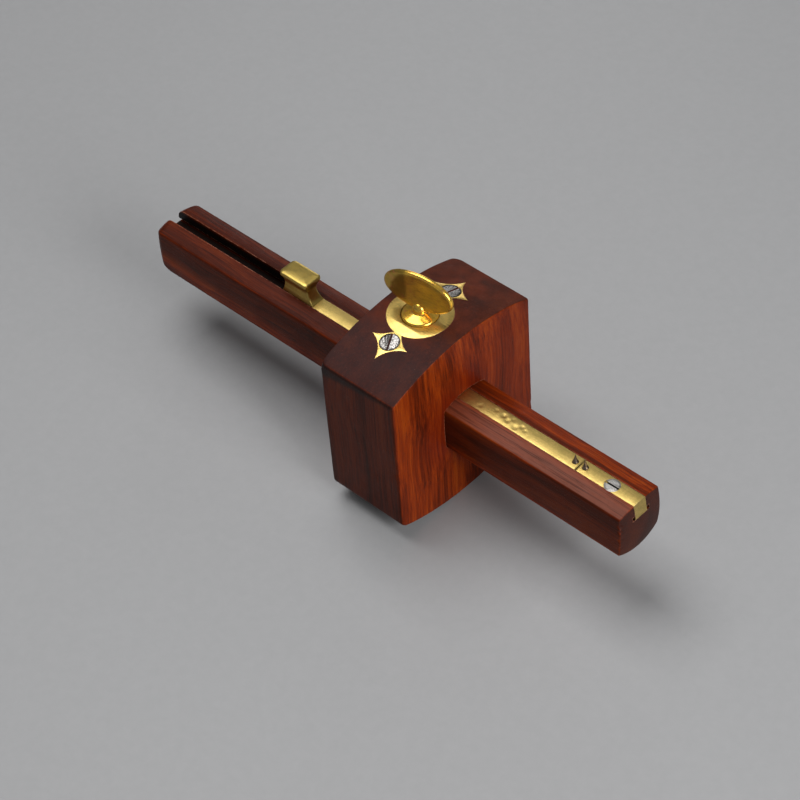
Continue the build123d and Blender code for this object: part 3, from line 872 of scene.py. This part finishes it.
    def finish(self, colour, roughness, normal, **constants):
        """Feeds the shader. constants are further inputs, with _ for each space in their names."""
        self.feed(colour, self.shader.inputs["Base Color"])
        self.feed(roughness, self.shader.inputs["Roughness"])
        self.feed(normal, self.shader.inputs["Normal"])
        for name, value in constants.items():
            self.shader.inputs[name.replace("_", " ")].default_value = value
        return self.material


def along(axis, lengthwise, crosswise):
    """Feature sizes for a grain that runs along an axis."""
    sizes = list(crosswise)
    sizes.insert(axis, lengthwise)
    return sizes


def wood_grain(g, axis, seed):
    """The figure of rosewood, all along one axis: broad bands, streaks, thin lines and pores."""
    wander = g.vector("SUBTRACT", g.stretched((45, 45, 45), seed, detail=1, colour=True), (0.5, 0.5, 0.5))
    sway = [7.0, 7.0, 7.0]
    sway[axis] = 0.0
    flow = g.vector("ADD", g.place, g.vector("MULTIPLY", wander, tuple(sway)))
    bands = g.stretched(along(axis, 150, (7, 11)), seed + 3, flow, detail=2, roughness=0.5)
    streaks = g.stretched(along(axis, 60, (0.65, 1.0)), seed + 5, flow, detail=4, roughness=0.62)
    lines = g.stretched(along(axis, 20, (0.18, 0.26)), seed + 7, flow, detail=3, roughness=0.6)
    pores = g.stretched(along(axis, 2.2, (0.14, 0.14)), seed + 9, flow, detail=1)
    return bands, streaks, lines, g.smooth(pores, 0.62, 0.72)


def rosewood(name, axis, seed, shade):
    """Rosewood with its grain along an axis. shade(g, colour, end_grain) stains regions and
    paints shade, sheen and reflection on some, and gives the colour and how much rougher the end grain is."""
    g = Graph(name)
    bands, streaks, lines, pores = wood_grain(g, axis, seed)
    tone = g.math("MULTIPLY_ADD", g.math("SUBTRACT", bands, 0.5), 1.1, 0.52)
    tone = g.math("MULTIPLY_ADD", g.math("SUBTRACT", streaks, 0.5), 0.85, tone)
    tone = g.math("MULTIPLY_ADD", g.math("SUBTRACT", lines, 0.5), 0.45, tone)
    colour = g.ramp(tone, (0.22, (0.040, 0.0060, 0.0014)), (0.42, (0.120, 0.0135, 0.0018)),
                    (0.60, (0.235, 0.0280, 0.0023)), (0.84, (0.370, 0.0640, 0.0045)))
    dark_lines = g.smooth(streaks, 0.40, 0.30)
    colour = g.mix(g.math("MULTIPLY", dark_lines, 0.55), colour, DARK_STREAK)
    facing = g.math("ABSOLUTE", g.split(g.coords.outputs["Normal"])[axis])
    end_grain = g.smooth(facing, 0.55, 0.92)
    colour = g.mix(g.math("MULTIPLY", pores, 0.55), colour, OPEN_PORE)
    edge = g.rounded_edge_mask(0.55 * MM)
    colour, extra_roughness = shade(g, colour, end_grain)
    # Lighter edges: partly wear, partly a painted highlight along the rounded edges
    chatter = g.smooth(g.stretched((1.3, 1.3, 1.3), seed + 13, detail=4, roughness=0.7), 0.38, 0.62)
    worn = g.math("MULTIPLY", edge, chatter)
    colour = g.mix(g.math("MULTIPLY", worn, 0.85), colour, WORN_EDGE_AND_HIGHLIGHT)
    wear = g.stretched((8, 8, 8), seed + 11, detail=4, roughness=0.65)
    roughness = g.linear(wear, 0.3, 0.7, 0.34, 0.46)
    roughness = g.math("ADD", roughness, extra_roughness)
    relief = g.math("MULTIPLY_ADD", lines, 0.6, g.math("MULTIPLY", streaks, 0.5))
    relief = g.math("SUBTRACT", relief, g.math("MULTIPLY", pores, 0.9))
    normal = g.bump(relief, 0.03 * MM)
    return g.finish(colour, roughness, normal, IOR=1.5, Specular_IOR_Level=0.08)


def head_shade(g, colour, end_grain):
    """A dark stained top with a painted sheen over its near part, a brown near side that is
    partly painted shade, with a stained band along its top edge, and a redder fence round the mortise."""
    x, y, z = g.split(g.place)
    normal = g.split(g.coords.outputs["Normal"])
    cloud = g.stretched((9, 9, 9), 21, detail=4, roughness=0.6)
    top = g.mix(g.smooth(cloud, 0.35, 0.65), TOP_DARK, TOP_RED)
    # The near part of the top: a dark stain, partly a painted sheen that greys it
    near_stain_and_sheen = g.smooth(g.math("MULTIPLY_ADD", cloud, 30.0, y), 20.0, -4.0)
    top = g.mix(g.math("MULTIPLY", near_stain_and_sheen, 0.85), top, TOP_STAIN_AND_SHEEN)
    flecks = g.smooth(g.stretched((0.5, 0.5, 0.5), 33, detail=2), 0.66, 0.74)
    top = g.mix(g.math("MULTIPLY", flecks, 0.35), top, PALE_FLECK)
    colour = g.mix(g.math("MULTIPLY", end_grain, 0.88), colour, top)
    band_edge = g.math("MULTIPLY_ADD", g.math("SUBTRACT", x, HEAD_LOW.x / MM), 0.13, 56.4)
    band_edge = g.math("MULTIPLY_ADD", cloud, 2.4, band_edge)
    band = g.smooth(g.math("SUBTRACT", z, band_edge), -1.2, 1.2)
    near = g.smooth(normal[1], -0.55, -0.85)
    # The near side is darker: partly browner wood, partly painted shade
    colour = g.mix(g.math("MULTIPLY", near, 0.62), colour, HEAD_SIDE_BROWN_AND_SHADE)
    band = g.math("MULTIPLY", band, near)
    colour = g.mix(g.math("MULTIPLY", band, 0.85), colour, STAIN_BAND)
    front = g.smooth(normal[0], 0.6, 0.9)
    reach = g.vector("SUBTRACT", g.place, (HEAD_HIGH.x / MM, -4.0, AXIS_Z / MM + 2.0))
    reach = g.vector("MULTIPLY", reach, (0.0, 1.0, 0.8))
    # Redder and darker round the mortise
    round_mortise = g.smooth(g.math("MULTIPLY_ADD", cloud, 12.0, g.length(reach)), 27.0, 14.0)
    round_mortise = g.math("MULTIPLY", round_mortise, front)
    colour = g.mix(g.math("MULTIPLY", round_mortise, 0.50), colour, MORTISE_RED)
    far_part = g.math("MULTIPLY", g.smooth(y, 2.0, 26.0), front)
    colour = g.mix(g.math("MULTIPLY", far_part, 0.40), colour, FAR_BROWN)
    return colour, g.math("MULTIPLY", end_grain, 0.10)


def stem_shade(g, colour, end_grain):
    """A groove painted nearly black as shade, a brown near side that is partly painted shade,
    with an orange foot, a painted sheen along the near half of the top, painted shade on the top
    behind the head, a painted dark band beside the brass, and dark end grain."""
    x, y, z = g.split(g.place)
    normal = g.split(g.coords.outputs["Normal"])
    near = g.smooth(normal[1], -0.55, -0.85)
    foot = g.smooth(g.math("MULTIPLY_ADD", x, 0.03, z), 31.0, 28.4)
    # The near side is darker, less so at its orange foot: partly browner wood, partly painted shade
    near_side_shade = g.math("MULTIPLY", near, g.math("SUBTRACT", 0.60, g.math("MULTIPLY", foot, 0.55)))
    colour = g.mix(near_side_shade, colour, STEM_SIDE_BROWN_AND_SHADE)
    upward = g.smooth(normal[2], 0.75, 0.9)
    near_strip = g.math("MULTIPLY", upward, g.smooth(y, -2.5, -4.5))
    # Painted sheen: a pale veil over the near strip of the top, stronger towards the pin end
    painted_sheen = g.math("MULTIPLY", near_strip, g.smooth(x, 0, 60, 0.10, 0.66))
    colour = g.mix(painted_sheen, colour, PAINTED_SHEEN_STRIP)
    streaks = g.smooth(g.stretched((26, 0.42, 0.42), 41, detail=4, roughness=0.65), 0.50, 0.36)
    streaks = g.math("MULTIPLY", streaks, upward)
    colour = g.mix(g.math("MULTIPLY", streaks, 0.60), colour, STRIP_STREAK)
    # Painted shade: the top darkens towards the tail, behind the head
    tail_shade = g.math("MULTIPLY", upward, g.smooth(x, 10, -10, 0.0, 0.58))
    colour = g.mix(tail_shade, colour, TAIL_PAINTED_SHADE)
    # Painted reflection: a darker band on the wood along the far side of the brass
    beside_brass_band = g.smooth(g.math("ABSOLUTE", g.math("SUBTRACT", y, BAR_Y / MM + 4.1)), 1.1, 0.2)
    colour = g.mix(g.math("MULTIPLY", beside_brass_band, 0.55), colour, PAINTED_BAND_BESIDE_BRASS)
    colour = g.mix(g.math("MULTIPLY", end_grain, 0.88), colour, END_GRAIN)
    # Painted shade: the groove's walls and floor are darkened nearly to black
    inside = g.smooth(g.math("ABSOLUTE", g.math("SUBTRACT", y, BAR_Y / MM)), 3.4, 2.9)
    below = g.smooth(z, BAR_TOP / MM - 0.5, BAR_TOP / MM - 1.6)
    floor_level = GROOVE_FLOOR / MM
    in_groove = g.math("MULTIPLY", below, g.smooth(z, floor_level - 0.3, floor_level - 0.05))
    colour = g.mix(g.math("MULTIPLY", inside, in_groove), colour, GROOVE_PAINTED_SHADE)
    return colour, g.math("MULTIPLY", end_grain, 0.12)


def brass(name, seed, gold, tarnish, amount, lines=(1, 1, 1), roughness=(0.24, 0.40), traces=0.0,
          metallic=1.0):
    """Worn brass: tarnish in clouds and spots, fine lines along one way, and small pits. traces
    is the strength of the reddish patches on the thumbscrew, whose wing has a painted dark
    reflection over its tail third."""
    g = Graph(name)
    clouds = g.stretched((5, 5, 5), seed, detail=5, roughness=0.65)
    spots = g.stretched((0.7, 0.7, 0.7), seed + 2, detail=3, roughness=0.7)
    brush = g.stretched(lines, seed + 4, detail=3, roughness=0.6)
    pits = g.smooth(g.stretched((0.35, 0.35, 0.35), seed + 6, detail=2), 0.66, 0.76)
    share = g.math("MULTIPLY_ADD", spots, 0.5, g.math("MULTIPLY", clouds, 0.9))
    share = g.math("MULTIPLY", g.smooth(share, 0.50, 0.95), amount)
    share = g.math("MULTIPLY_ADD", g.smooth(brush, 0.48, 0.34), 0.42, share, clamp=True)
    colour = g.mix(share, gold, tarnish)
    colour = g.mix(g.math("MULTIPLY", pits, 0.55), colour, BRASS_PIT)
    if traces:
        x, _, z = g.split(g.place)
        # Painted reflection: the wing's tail third, above the boss, turns a dark dull gold
        tail_third = g.smooth(x, CLAMP_X / MM - 3.6, CLAMP_X / MM - 5.0)
        raised = g.smooth(z, BOSS_HIGH.z / MM - 1.0, BOSS_HIGH.z / MM + 1.0)
        painted_reflection = g.math("MULTIPLY", g.math("MULTIPLY", tail_third, raised), 0.72)
        colour = g.mix(painted_reflection, colour, WING_PAINTED_REFLECTION)
        red = g.smooth(g.stretched((1.6, 1.6, 1.6), seed + 8, detail=4, roughness=0.7), 0.54, 0.68)
        colour = g.mix(g.math("MULTIPLY", red, traces), colour, RED_TRACE)
    edge = g.rounded_edge_mask(0.25 * MM)
    colour = g.mix(g.math("MULTIPLY", edge, 0.7), colour, BRIGHT_EDGE)
    rough = g.linear(g.math("MULTIPLY_ADD", brush, 0.5, g.math("MULTIPLY", clouds, 0.5)),
                     0.3, 0.7, *roughness)
    relief = g.math("MULTIPLY_ADD", brush, 0.8, g.math("MULTIPLY", spots, 0.3))
    relief = g.math("SUBTRACT", relief, g.math("MULTIPLY", pits, 0.8))
    return g.finish(colour, rough, g.bump(relief, 0.014 * MM), Metallic=metallic)


def steel(name, seed, bright, dark, amount, lines, roughness=(0.25, 0.5), rims=(), slot=False):
    """Worn steel: dark scale over bright metal. rims are nodes with a dark outer ring, painted
    shade of the gap round each screw head, and slot darkens what lies below their flat tops."""
    g = Graph(name)
    scale = g.stretched((0.55, 0.55, 0.55), seed, detail=5, roughness=0.75)
    brush = g.stretched(lines, seed + 4, detail=3)
    share = g.math("MULTIPLY", g.smooth(scale, 0.42, 0.60), amount)
    for node in rims:
        low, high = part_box(node)
        centre = (low + high) / 2
        away = g.vector("SUBTRACT", g.place, tuple(centre / MM))
        away = g.length(g.vector("MULTIPLY", away, (1.0, 1.0, 0.0)))
        radius = (high.x - low.x) / 2 / MM
        beyond = g.smooth(away, radius + 1.2, radius + 0.6)
        # Painted shade: a dark outer ring standing for the gap round the screw head
        ring = g.math("MULTIPLY", g.smooth(away, radius - 0.75, radius - 0.25), beyond)
        share = g.math("MULTIPLY_ADD", ring, 0.85, share, clamp=True)
        if slot:
            height = g.split(g.place)[2]
            sunk = g.smooth(height, high.z / MM - 0.12, high.z / MM - 0.40)
            share = g.math("MULTIPLY_ADD", sunk, 1.5, share)
    colour = g.mix(g.math("MINIMUM", share, 1.0), bright, dark)
    if slot:
        colour = g.mix(g.smooth(share, 1.0, 1.5), colour, SLOT_BLACK)
    rough = g.linear(scale, 0.3, 0.7, *roughness)
    relief = g.math("MULTIPLY_ADD", brush, 0.6, g.math("MULTIPLY", scale, 0.8))
    return g.finish(colour, rough, g.bump(relief, 0.03 * MM), Metallic=1.0)


MATERIALS = {
    "head_rosewood": rosewood("rosewood_head", 2, 1.3, head_shade),
    "stem_rosewood": rosewood("rosewood_stem", 0, 8.1, stem_shade),
    "plate_brass": brass("brass_plate", 2.0, GOLD, OLIVE, 0.7, (2.5, 0.3, 2.5)),
    "bar_brass": brass("brass_bar", 5.0, (0.74, 0.53, 0.17), OLIVE, 0.8, (14, 0.18, 0.18), (0.30, 0.44)),
    # The knob's gold is darker than the other brass: a painted reflection of the dark its top faces
    "knob_brass": brass("brass_knob", 7.0, (0.58, 0.41, 0.10), OLIVE, 0.8, (1.5, 1.5, 1.5)),
    "thumb_brass": brass("brass_thumb", 9.0, (1.00, 0.60, 0.08), OLIVE, 0.15, (3, 3, 0.6),
                         (0.14, 0.26), traces=0.7, metallic=0.80),
    "inner_brass": brass("brass_inner", 11.0, GOLD, OLIVE, 0.9),
    "dark_steel": steel("steel_dark", 3.0, (0.42, 0.40, 0.38), (0.045, 0.04, 0.035), 0.85, (1, 1, 1),
                        rims=("plate_screw_near", "plate_screw_far")),
    "bright_steel": steel("steel_bright", 4.0, (0.90, 0.87, 0.83), (0.40, 0.37, 0.34), 0.45,
                          (0.12, 2.5, 2.5), (0.25, 0.42), rims=("end_plate_screw",), slot=True),
    "pin_steel": steel("steel_pin", 6.0, (0.34, 0.28, 0.23), (0.07, 0.05, 0.04), 0.7, (1, 1, 0.1),
                       (0.2, 0.4)),
}
build_pieces()

# ---------------------------------------------------------------- floor, light and camera


def floor():
    """Plain pale floor that sweeps out well past the shadows."""
    reach = 3.0
    corners = [(-reach, -reach, 0), (reach, -reach, 0), (reach, reach, 0), (-reach, reach, 0)]
    plane = make_object("floor", corners, [(0, 1, 2, 3)])
    g = Graph("floor_paint")
    tint = g.stretched((3, 3, 3), 5, detail=3)
    colour = g.ramp(tint, (0.3, (0.365, 0.365, 0.37)), (0.7, (0.38, 0.38, 0.385)))
    grit = g.stretched((0.8, 0.8, 0.8), 6, detail=2)
    material = g.finish(colour, 0.55, g.bump(grit, 0.02 * MM))
    plane.data.materials.append(material)


def soft_light(name, place, size, power):
    """Rectangular softbox aimed at the head."""
    light = bpy.data.lights.new(name, "AREA")
    light.shape = "RECTANGLE"
    light.size, light.size_y = size
    light.energy = power
    obj = bpy.data.objects.new(name, light)
    obj.location = place
    obj.rotation_euler = (HEAD_CENTRE - Vector(place)).to_track_quat("-Z", "Y").to_euler()
    bpy.context.scene.collection.objects.link(obj)


def camera():
    """Camera at the photograph's viewing angle."""
    azimuth, elevation, roll = math.radians(46.53), math.radians(45.82), math.radians(-4.87)
    distance, aside, above = 793.77 * MM, -9.8 * MM, -2.88 * MM
    back = Vector((math.sin(azimuth) * math.cos(elevation), -math.cos(azimuth) * math.cos(elevation),
                   math.sin(elevation)))
    right = Vector((math.cos(azimuth), math.sin(azimuth), 0))
    up = back.cross(right)
    rolled_right = right * math.cos(roll) + up * math.sin(roll)
    rolled_up = up * math.cos(roll) - right * math.sin(roll)
    data = bpy.data.cameras.new("camera")
    data.lens, data.sensor_width = 108.44, 36
    data.clip_start, data.clip_end = 0.01, 50
    obj = bpy.data.objects.new("camera", data)
    turn = Matrix((rolled_right, rolled_up, back)).transposed().to_4x4()
    place = HEAD_CENTRE + rolled_right * aside + rolled_up * above + back * distance
    obj.matrix_world = Matrix.Translation(place) @ turn
    bpy.context.scene.collection.objects.link(obj)
    bpy.context.scene.camera = obj


def world():
    scene_world = bpy.data.worlds.new("studio")
    scene_world.use_nodes = True
    background = scene_world.node_tree.nodes["Background"]
    background.inputs["Color"].default_value = (0.96, 0.98, 1.0, 1)
    background.inputs["Strength"].default_value = 0.14
    bpy.context.scene.world = scene_world
    bpy.context.scene.view_settings.view_transform = "Standard"


floor()
soft_light("overhead", (-0.26, 0.00, 0.90), (0.60, 0.62), 5.2)
soft_light("right", (0.95, -0.12, 0.50), (0.45, 0.60), 8.0)
soft_light("back", (-0.55, 0.75, 0.35), (0.3, 0.3), 0.6)
camera()
world()
